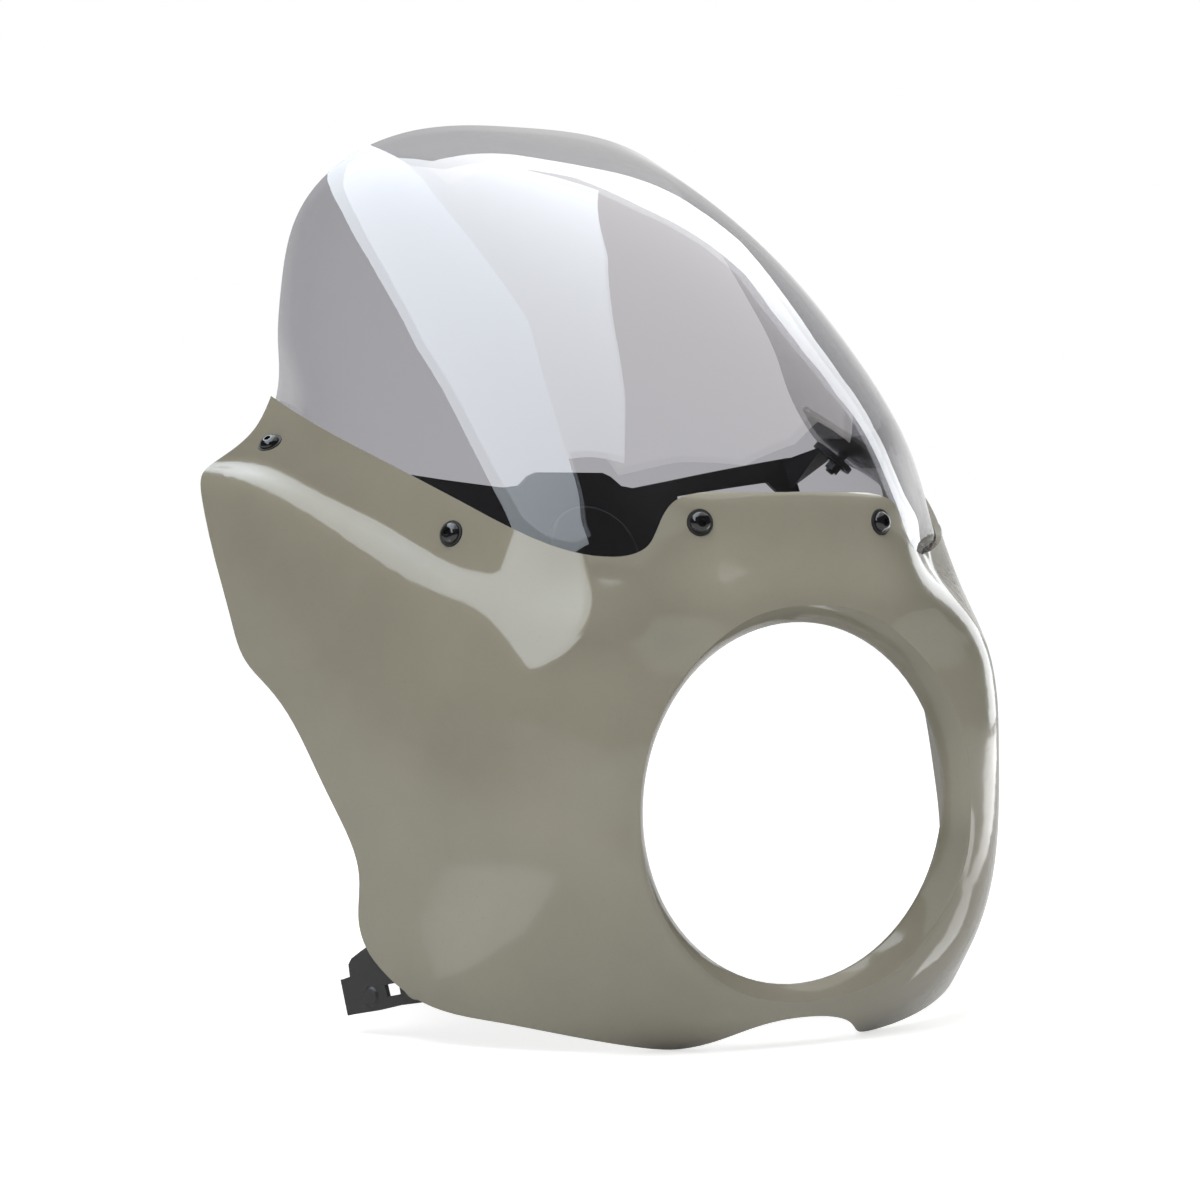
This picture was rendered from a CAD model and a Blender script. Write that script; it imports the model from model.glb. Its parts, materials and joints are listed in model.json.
import json
import math

import bpy
import numpy
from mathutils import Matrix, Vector


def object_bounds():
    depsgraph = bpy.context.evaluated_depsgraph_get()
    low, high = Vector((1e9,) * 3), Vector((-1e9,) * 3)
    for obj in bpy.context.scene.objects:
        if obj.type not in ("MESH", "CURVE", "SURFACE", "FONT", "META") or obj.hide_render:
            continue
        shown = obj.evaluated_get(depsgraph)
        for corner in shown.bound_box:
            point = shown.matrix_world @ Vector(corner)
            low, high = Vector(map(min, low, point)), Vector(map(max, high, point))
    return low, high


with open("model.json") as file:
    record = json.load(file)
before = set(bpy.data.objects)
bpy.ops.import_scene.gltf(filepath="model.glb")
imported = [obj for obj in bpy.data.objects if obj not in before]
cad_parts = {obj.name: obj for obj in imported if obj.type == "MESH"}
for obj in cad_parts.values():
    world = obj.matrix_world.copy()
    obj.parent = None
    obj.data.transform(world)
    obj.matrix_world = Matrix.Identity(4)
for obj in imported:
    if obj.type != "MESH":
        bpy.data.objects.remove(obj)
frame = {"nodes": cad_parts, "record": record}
cad_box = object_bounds()


# Places on the cowl that its finish and its room go by, in metres

MIDDLE = Vector((0.0, 0.13, 0.1))
FLOOR = cad_box[0].z
JUST_ABOVE_FLOOR = FLOOR + 0.001

# The top and the foot of the ridge, as depth behind the lamp opening and height over its centre
RIDGE_TOP = [(0.05, 0.1066), (0.11, 0.1245), (0.18, 0.1543), (0.25, 0.1592)]
RIDGE_FOOT = [(0.03, 0.0721), (0.13, 0.1271), (0.25, 0.1646)]

# Where each cheek begins: a line that bows outward, the more so the farther it is from this height
CHEEK_HEIGHT = 0.119
CHEEK_REACH = 0.098
CHEEK_BOW = 10.5

# A point under the bubble of the screen, and the level of the bubble's foot
UNDER_BUBBLE = (0.0, 0.21, 0.15)
BUBBLE_FOOT = 0.12

# Where the photo was taken from, and how the camera's back is turned and risen, in degrees
PHOTO_PLACE = (-0.88346, -1.32294, 0.13864)
PHOTO_TURN = -30.34
PHOTO_RISE = 1.50


# How materials are written

class Value:
    """A number in a material, so that sums on it read as they do on paper."""

    def __init__(self, nodes, socket):
        self.nodes = nodes
        self.socket = socket

    def sum(self, operation, first, second=0.0):
        made = self.nodes.node("ShaderNodeMath", {"operation": operation}, {0: first, 1: second})
        return Value(self.nodes, made.outputs[0])

    def __add__(self, other):
        return self.sum("ADD", self, other)

    __radd__ = __add__

    def __mul__(self, other):
        return self.sum("MULTIPLY", self, other)

    __rmul__ = __mul__

    def __sub__(self, other):
        return self.sum("SUBTRACT", self, other)

    def __rsub__(self, other):
        return self.sum("SUBTRACT", other, self)

    def __pow__(self, other):
        return self.sum("POWER", self, other)

    def at_least(self, other):
        return self.sum("MAXIMUM", self, other)

    def sign(self):
        """1 where the number is above zero and -1 where it is below."""
        return self.sum("SIGN", self)


class Nodes:
    """The nodes of one material, or of the air in the room."""

    def __init__(self, tree):
        self.tree = tree
        self.tree.nodes.clear()

    def node(self, kind, settings=None, inputs=None):
        made = self.tree.nodes.new(kind)
        for name, setting in (settings or {}).items():
            setattr(made, name, setting)
        for name, given in (inputs or {}).items():
            if isinstance(given, Value):
                given = given.socket
            if isinstance(given, bpy.types.NodeSocket):
                self.tree.links.new(given, made.inputs[name])
            else:
                made.inputs[name].default_value = given
        return made

    def spread(self, value, low, high):
        """Stretches the part of a value between low and high over 0 to 1."""
        made = self.node("ShaderNodeMapRange", None, {"Value": value, "From Min": low, "From Max": high})
        return Value(self, made.outputs["Result"])

    def blend(self, share, first, second):
        """A colour between two others."""
        made = self.node("ShaderNodeMix", {"data_type": "RGBA"}, {0: share, 6: first, 7: second})
        return made.outputs[2]

    def part_way(self, share, first, second):
        """A vector between two others."""
        made = self.node("ShaderNodeMix", {"data_type": "VECTOR"}, {0: share, 4: first, 5: second})
        return made.outputs[1]

    def vector(self, operation, first, second=(0.0, 0.0, 0.0)):
        """Sums on whole vectors."""
        return self.node("ShaderNodeVectorMath", {"operation": operation}, {0: first, 1: second}).outputs[0]

    def built(self, x, y, z):
        """A vector from its three numbers."""
        return self.node("ShaderNodeCombineXYZ", None, {0: x, 1: y, 2: z}).outputs[0]

    def along(self, first, second):
        """How far two directions agree, from -1 to 1."""
        made = self.node("ShaderNodeVectorMath", {"operation": "DOT_PRODUCT"}, {0: first, 1: second})
        return Value(self, made.outputs["Value"])

    def end(self, kind, shader):
        self.tree.links.new(shader.outputs[0], self.node(kind).inputs["Surface"])


class Finish(Nodes):
    """One material, laid over a piece in the piece's own coordinates."""

    def __init__(self, name):
        self.material = bpy.data.materials.new(name)
        self.material.use_nodes = True
        super().__init__(self.material.node_tree)
        self.place = self.node("ShaderNodeTexCoord").outputs["Object"]

    def coordinates(self):
        split = self.node("ShaderNodeSeparateXYZ", None, {0: self.place})
        return [Value(self, number) for number in split.outputs]

    def facing(self):
        """The way that the skin faces."""
        return self.node("ShaderNodeNewGeometry").outputs["Normal"]

    def noise(self, size, detail=2.0, roughness=0.5, stretch=(1.0, 1.0, 1.0)):
        """Cloudy noise whose blobs are about size metres across."""
        made = self.node("ShaderNodeTexNoise", None, {
            "Vector": self.vector("MULTIPLY", self.place, stretch),
            "Scale": 1.0 / size,
            "Detail": detail,
            "Roughness": roughness,
        })
        return Value(self, made.outputs["Fac"])

    def bump(self, height, depth, strength=1.0, lean=None):
        """Small unevenness, depth metres from low to high, on a skin that may lean its own way."""
        inputs = {"Height": height, "Distance": depth, "Strength": strength}
        if lean:
            inputs["Normal"] = lean
        return self.node("ShaderNodeBump", None, inputs).outputs["Normal"]

    def coat(self, colour, roughness, uneven, ior=1.5, metallic=0.0):
        """The finish as a solid coat, or as bare metal."""
        return self.done(self.node("ShaderNodeBsdfPrincipled", None, {
            "Base Color": colour,
            "Roughness": roughness,
            "Normal": uneven,
            "IOR": ior,
            "Metallic": metallic,
        }))

    def done(self, shader):
        self.end("ShaderNodeOutputMaterial", shader)
        return self.material


def curve_through(value, places):
    """The height of the plain curve that runs through some places, which give depth and height."""
    slopes = [height for depth, height in places]
    for step in range(1, len(places)):
        for index in range(len(places) - 1, step - 1, -1):
            run = places[index][0] - places[index - step][0]
            slopes[index] = (slopes[index] - slopes[index - 1]) / run
    curve = slopes[-1]
    for (depth, height), slope in reversed(list(zip(places[:-1], slopes[:-1]))):
        curve = slope + (value - depth) * curve
    return curve


# Finishes

def flange_lean(skin):
    """The skin's direction, with the flange under the screen steeper and the ridge below it rounder."""
    x, y, z = skin.coordinates()
    side = x.sign()
    reach = x * side
    outward = skin.facing()

    # The flange stands above the top of the ridge, behind the front screws, and its outside leans to steep
    steep = skin.built(side * 0.90, -0.30, 0.36)
    flange = skin.spread(z - curve_through(y, RIDGE_TOP), -0.001, 0.005) * skin.spread(y, 0.050, 0.057)
    flange = flange * skin.spread(skin.along(outward, steep), 0.15, 0.50) * 0.9

    # The ridge turns upward from its foot, which runs lower at the front, and turns less at the rear
    cheek = skin.spread(reach - CHEEK_BOW * (CHEEK_HEIGHT - z) ** 2.0, CHEEK_REACH, CHEEK_REACH + 0.005)
    below_flange = cheek * (1.0 - flange)
    foot = curve_through(y, RIDGE_FOOT) - 0.005 * (1.0 - skin.spread(y, 0.030, 0.055))
    ridge = skin.spread(z - foot, -0.003, 0.005) * below_flange
    ridge = ridge * (0.36 - 0.20 * skin.spread(y, 0.110, 0.135))

    # The front end of the ridge turns outward, in two steps of height
    shoulder = below_flange * (1.0 - skin.spread(reach, 0.112, 0.124))
    shoulder = shoulder * (0.15 * skin.spread(z, 0.075, 0.095) + 0.25 * skin.spread(z, 0.098, 0.110))

    # The nose over the lamp, towards its sides, and the lower half of the lip turn downward
    brow = 0.42 * (1.0 - cheek) * skin.spread(z, 0.060, 0.078) * skin.spread(reach, 0.045, 0.080)
    from_lamp_axis = (x * x + z * z) ** 0.5
    lip = 0.45 * (1.0 - skin.spread(from_lamp_axis, 0.094, 0.099)) * (1.0 - skin.spread(z, -0.020, 0.0))

    turned = skin.built(shoulder * side, 0.0, ridge - brow - lip)
    return skin.vector("NORMALIZE", skin.vector("ADD", skin.part_way(flange, outward, steep), turned))


def cowl_gelcoat():
    """Warm grey gelcoat: glossy, a little cloudy, with a moulded skin's slight ripple and fine dust."""
    skin = Finish("cowl_gelcoat")
    clouds = skin.spread(skin.noise(0.06, 3.0), 0.3, 0.7)
    specks = skin.spread(skin.noise(0.0012), 0.62, 0.75)
    grey = skin.blend(clouds, (0.248, 0.234, 0.184, 1), (0.270, 0.255, 0.201, 1))
    grey = skin.blend(specks * 0.25, grey, (0.200, 0.188, 0.148, 1))
    ripple = skin.noise(0.010, 1.0) + skin.noise(0.0009) * 0.04
    uneven = skin.bump(ripple, 0.00010, lean=flange_lean(skin))
    return skin.coat(grey, 0.09 + 0.05 * clouds + 0.10 * specks, uneven)


def gentle_terms(x, y, z):
    """What a gently curved surface that is alike on both sides is summed from."""
    wide = x * x
    return [1.0, y, z, wide, y * y, z * z, y * z, wide * y, wide * z]


def bubble_curves(mesh):
    """The even curve of the screen: the share of each gentle term in how its outer skin faces."""
    def read(name, width):
        flat = numpy.empty(len(mesh.polygons) * width, dtype=numpy.float32)
        mesh.polygons.foreach_get(name, flat)
        return flat.reshape(-1, width).astype(float)

    places = read("center", 3)
    facings = read("normal", 3)
    outward = places - UNDER_BUBBLE
    outward /= numpy.linalg.norm(outward, axis=1, keepdims=True)
    outer = ((facings * outward).sum(axis=1) > 0.25) & (places[:, 2] > BUBBLE_FOOT)
    x, y, z = places[outer].T
    weight = numpy.sqrt(read("area", 1)[outer])
    even = numpy.stack(numpy.broadcast_arrays(*gentle_terms(x, y, z)), axis=1) * weight
    curves = []
    for axis, terms in enumerate((even * x[:, None], even, even)):
        wanted = facings[outer, axis] * weight[:, 0]
        factors = numpy.linalg.lstsq(terms, wanted, rcond=None)[0]
        curves.append([round(float(factor), 2) for factor in factors])
    return curves


def bubble_lean(sheet):
    """The even curve of a blown bubble, in place of the slight waves of the sheet as it is built."""
    x, y, z = sheet.coordinates()
    terms = gentle_terms(x, y, z)
    across, back, up = [
        sum(term * factor for term, factor in zip(terms, curve))
        for curve in bubble_curves(frame["nodes"]["windscreen"].data)
    ]
    even = sheet.vector("NORMALIZE", sheet.built(across * x, back, up))
    facing = sheet.facing()
    agree = sheet.along(even, facing)
    way = agree.sign()
    even = sheet.vector("MULTIPLY", even, sheet.built(way, way, way))
    share = sheet.spread(agree * way, 0.5, 0.8)
    return sheet.vector("NORMALIZE", sheet.part_way(share, facing, even))


def clear_acrylic():
    """Clear acrylic sheet, faintly grey, with light smears that dull its shine."""
    sheet = Finish("clear_acrylic")
    lean = bubble_lean(sheet)
    rim = sheet.node("ShaderNodeLayerWeight", None, {"Blend": 0.5, "Normal": lean})
    slant = Value(sheet, rim.outputs["Facing"])
    gloss = 0.042 + 0.085 * slant + 0.87 * slant ** 5.0
    smears = sheet.spread(sheet.noise(0.03, 4.0, 0.6, (1, 1, 0.4)), 0.45, 0.8)
    through = sheet.node("ShaderNodeBsdfTransparent", None, {"Color": (0.644, 0.639, 0.656, 1)})
    shine = sheet.node("ShaderNodeBsdfGlossy", None, {
        "Color": (1, 1, 1, 1),
        "Roughness": 0.015 + 0.025 * smears,
        "Normal": lean,
    })
    return sheet.done(sheet.node("ShaderNodeMixShader", None, {
        0: gloss,
        1: through.outputs[0],
        2: shine.outputs[0],
    }))


def satin_black():
    """Black powder coat with its fine pimpled skin, rubbed a little paler here and there."""
    powder = Finish("satin_black")
    rubbed = powder.spread(powder.noise(0.018, 4.0, 0.6), 0.55, 0.8)
    black = powder.blend(rubbed, (0.020, 0.020, 0.021, 1), (0.034, 0.034, 0.035, 1))
    pimples = powder.bump(powder.noise(0.0012), 0.00004, 0.5)
    return powder.coat(black, 0.42 + 0.14 * rubbed, pimples)


def gloss_black():
    """Black oxide on a polished screw head, with faint turning marks."""
    head = Finish("gloss_black")
    wear = head.spread(head.noise(0.004, 4.0, 0.6), 0.5, 0.8)
    black = head.blend(wear, (0.006, 0.006, 0.007, 1), (0.014, 0.014, 0.015, 1))
    turning_marks = head.bump(head.noise(0.0007, 1.0), 0.00002)
    return head.coat(black, 0.10 + 0.10 * wear, turning_marks, ior=1.6)


def black_nylon():
    """Dull black nylon, with a fine grain."""
    ring = Finish("black_nylon")
    grain = ring.noise(0.0005, 3.0)
    black = ring.blend(grain, (0.014, 0.014, 0.014, 1), (0.026, 0.026, 0.026, 1))
    return ring.coat(black, 0.50 + 0.12 * grain, ring.bump(grain, 0.00005))


def turned_brass():
    """Turned brass, dulled in patches."""
    metal = Finish("turned_brass")
    dull = metal.spread(metal.noise(0.003, 3.0), 0.4, 0.7)
    gold = metal.blend(dull, (0.70, 0.53, 0.24, 1), (0.50, 0.37, 0.17, 1))
    turning_marks = metal.bump(metal.noise(0.0005), 0.00003)
    return metal.coat(gold, 0.24 + 0.18 * dull, turning_marks, metallic=1.0)


def dress():
    """Gives every piece the finish that its record names."""
    finish_of_slot = {
        "cowl_paint": cowl_gelcoat(),
        "clear_screen": clear_acrylic(),
        "bracket_black": satin_black(),
        "black_screw": gloss_black(),
        "black_nylon": black_nylon(),
        "brass_insert": turned_brass(),
    }
    for part in frame["record"]["subparts"]:
        materials = frame["nodes"][part["node"]].data.materials
        materials.clear()
        materials.append(finish_of_slot[part["material_slot"]])


# Room, light and camera

def direction(turn, rise):
    """A unit arrow, turned from the front towards +X and risen, in degrees."""
    turn = math.radians(turn)
    rise = math.radians(rise)
    return Vector((math.sin(turn) * math.cos(rise), -math.cos(turn) * math.cos(rise), math.sin(rise)))


def towards(turn, rise, distance):
    """The point that many metres from the middle of the cowl, in a direction."""
    return MIDDLE + distance * direction(turn, rise)


def flat_sheet(name, corners):
    mesh = bpy.data.meshes.new(name)
    mesh.from_pydata([tuple(corner) for corner in corners], [], [tuple(range(len(corners)))])
    made = bpy.data.objects.new(name, mesh)
    bpy.context.scene.collection.objects.link(made)
    return made


def seen_strength(nodes, for_eyes, for_gloss, for_light):
    """What the camera and the clear screen see, what gloss sees, and the light that falls on things."""
    rays = nodes.node("ShaderNodeLightPath")
    seen = Value(nodes, rays.outputs["Is Camera Ray"])
    seen = seen.at_least(Value(nodes, rays.outputs["Is Transmission Ray"]))
    mirrored = Value(nodes, rays.outputs["Is Glossy Ray"])
    return seen * (for_eyes - for_light) + mirrored * (for_gloss - for_light) + for_light


def floor():
    """A pale floor under the cowl, which keeps its shadow."""
    wide = 30.0
    corners = [(-wide, -wide), (wide, -wide), (wide, wide), (-wide, wide)]
    made = flat_sheet("studio_floor", [(x, y, FLOOR) for x, y in corners])
    pale = Finish("studio_floor")
    matt = pale.node("ShaderNodeBsdfDiffuse", None, {"Color": (0.80, 0.80, 0.80, 1)})
    strength = seen_strength(pale, for_eyes=0.60, for_gloss=0.15, for_light=0.0)
    lift = pale.node("ShaderNodeEmission", None, {"Strength": strength})
    both = pale.node("ShaderNodeAddShader", None, {0: matt.outputs[0], 1: lift.outputs[0]})
    made.data.materials.append(pale.done(both))


def air():
    """White air. Gloss sees it dark, except for a pale backdrop behind the cowl that dims as it rises."""
    world = bpy.data.worlds.new("studio_air")
    bpy.context.scene.world = world
    world.use_nodes = True
    nodes = Nodes(world.node_tree)
    sky = nodes.node("ShaderNodeTexCoord").outputs["Generated"]
    behind = nodes.spread(nodes.along(sky, direction(149.7, 0.0)), 0.50, 0.65)
    dimmed = 0.36 * nodes.spread(nodes.along(sky, (0, 0, 1)), 0.08, 0.25)
    backdrop = 0.06 + behind * (0.94 - dimmed)
    strength = seen_strength(nodes, for_eyes=1.0, for_gloss=backdrop, for_light=0.55)
    glow = nodes.node("ShaderNodeBackground", None, {"Color": (1, 1, 1, 1), "Strength": strength})
    nodes.end("ShaderNodeOutputWorld", glow)


def lamp(name, turn, rise, distance, across, power):
    """A soft square lamp that lights the cowl and isn't seen itself."""
    data = bpy.data.lights.new(name, "AREA")
    data.shape = "SQUARE"
    data.size = across
    data.energy = power
    made = bpy.data.objects.new(name, data)
    made.location = towards(turn, rise, distance)
    made.rotation_mode = "QUATERNION"
    made.rotation_quaternion = (made.location - MIDDLE).to_track_quat("Z", "Y")
    made.visible_camera = False
    made.visible_glossy = False
    made.visible_transmission = False
    bpy.context.scene.collection.objects.link(made)


def panel(name, corners, strength, colour=(1, 1, 1, 1)):
    """A studio panel that only shows as a reflection."""
    made = flat_sheet(name, corners)
    glow = Finish(name)
    made.data.materials.append(glow.done(glow.node("ShaderNodeEmission", None, {
        "Color": colour,
        "Strength": strength,
    })))
    made.visible_camera = False
    made.visible_diffuse = False
    made.visible_shadow = False
    made.visible_transmission = False


def overhead(height, plan):
    """Corners of a level panel, given as shares of its height above the cowl."""
    return [MIDDLE + height * Vector((x, y, 1.0)) for x, y in plan]


def on_floor(start, edge):
    """Where lines from a point, with these turns and rises, meet the floor."""
    corners = []
    for turn, rise in edge:
        line = direction(turn, rise)
        corners.append(start + line * ((JUST_ABOVE_FLOOR - start.z) / line.z))
    return corners


def softboxes():
    """Two cool softboxes side by side: the light band across the screen and the paler field beside it."""
    shared_edge = [(0.04, 0.53), (-0.20, 0.13), (-0.42, -0.03), (-0.87, -0.46)]
    shared_tip = [(0.09, 0.61), (0.16, 0.80)]
    big = [(-0.43, 0.82), (-0.20, 1.02), (0.03, 1.15), (0.25, 1.15), (0.21, 1.03)]
    big += shared_tip[::-1] + shared_edge
    big += [(-2.12, -1.68), (-2.50, -1.60), (-2.11, -0.50), (-1.62, -0.01), (-1.36, 0.23), (-1.18, 0.39),
            (-1.00, 0.55), (-0.84, 0.61), (-0.65, 0.69)]
    small = shared_edge[:1] + shared_tip
    small += [(0.25, 0.74), (0.47, 0.78), (0.61, 0.78), (0.70, 0.77), (0.42, 0.33), (0.18, 0.04),
              (-0.06, -0.27), (-0.46, -0.72)]
    small += shared_edge[:0:-1]
    panel("big_softbox", overhead(5.0, big), 4.2, (0.84, 0.92, 0.99, 1))
    panel("small_softbox", overhead(5.0, small), 3.4, (0.90, 0.96, 1.0, 1))


def dim_ceiling():
    """The dim field between the bright bands of the screen."""
    plan = [(-0.62, -0.82), (0.00, -0.81), (0.50, -0.87), (0.90, -0.52), (1.05, -0.19), (1.50, -0.10),
            (1.50, 0.40), (1.10, 0.75), (0.85, 0.92), (0.60, 0.90), (0.45, 0.72), (0.10, 0.60),
            (-0.50, -0.20)]
    panel("dim_ceiling", overhead(6.0, plan), 1.3, (1.0, 0.97, 0.96, 1))


def right_strip():
    """A bent strip beyond +X: the white line inside the rim of the screen."""
    edge = [(118, -30), (118, 3), (110, 16), (108, 24), (112, 31), (118, 32), (126, 30), (133, 27),
            (137, 30), (142, 36), (148, 41), (156, 49), (165, 54), (165, 60), (158, 57), (150, 51),
            (145, 46), (141, 43), (134, 43), (128, 40), (124, 39), (117, 41), (108, 41), (100, 38),
            (97, 22), (95, 5), (95, -30)]
    panel("right_strip", [towards(turn, rise, 5.0) for turn, rise in edge], 3.5, (0.95, 0.98, 1.0, 1))


def floor_strips():
    """Bright strips on the floor: the line down the cheek at +X and the patch low on the other one."""
    plan = [(0.10, -0.01), (0.18, -0.06), (0.37, -0.24), (0.81, -0.26), (1.55, -0.18), (2.60, 0.10),
            (2.60, 1.40), (1.76, 0.91), (1.10, 0.33), (0.72, 0.04), (0.37, -0.10), (0.19, -0.02)]
    panel("floor_strip", [Vector((x, y, JUST_ABOVE_FLOOR)) for x, y in plan], 3.8)
    low_on_cheek = Vector((-0.165, 0.09, -0.045))
    edge = [(-106, -10), (-98, -20), (-92, -33), (-89, -46), (-70, -50), (-56, -38), (-56, -14), (-75, -12)]
    panel("lit_floor", on_floor(low_on_cheek, edge), 1.9)


def camera():
    """The photo's own view, from the side of -X and just above level."""
    data = bpy.data.cameras.new("photo_view")
    data.lens = 100.0
    data.sensor_width = 36.0
    data.clip_start = 0.05
    data.clip_end = 100.0
    made = bpy.data.objects.new("photo_view", data)
    made.location = PHOTO_PLACE
    made.rotation_mode = "QUATERNION"
    made.rotation_quaternion = direction(PHOTO_TURN, PHOTO_RISE).to_track_quat("Z", "Y")
    bpy.context.scene.collection.objects.link(made)
    bpy.context.scene.camera = made


dress()
floor()
air()
lamp("key_softbox", turn=-50, rise=55, distance=2.4, across=1.6, power=34.0)
lamp("fill_softbox", turn=60, rise=40, distance=2.6, across=1.6, power=10.0)
softboxes()
dim_ceiling()
right_strip()
floor_strips()
camera()

bpy.context.scene.view_settings.view_transform = "Standard"
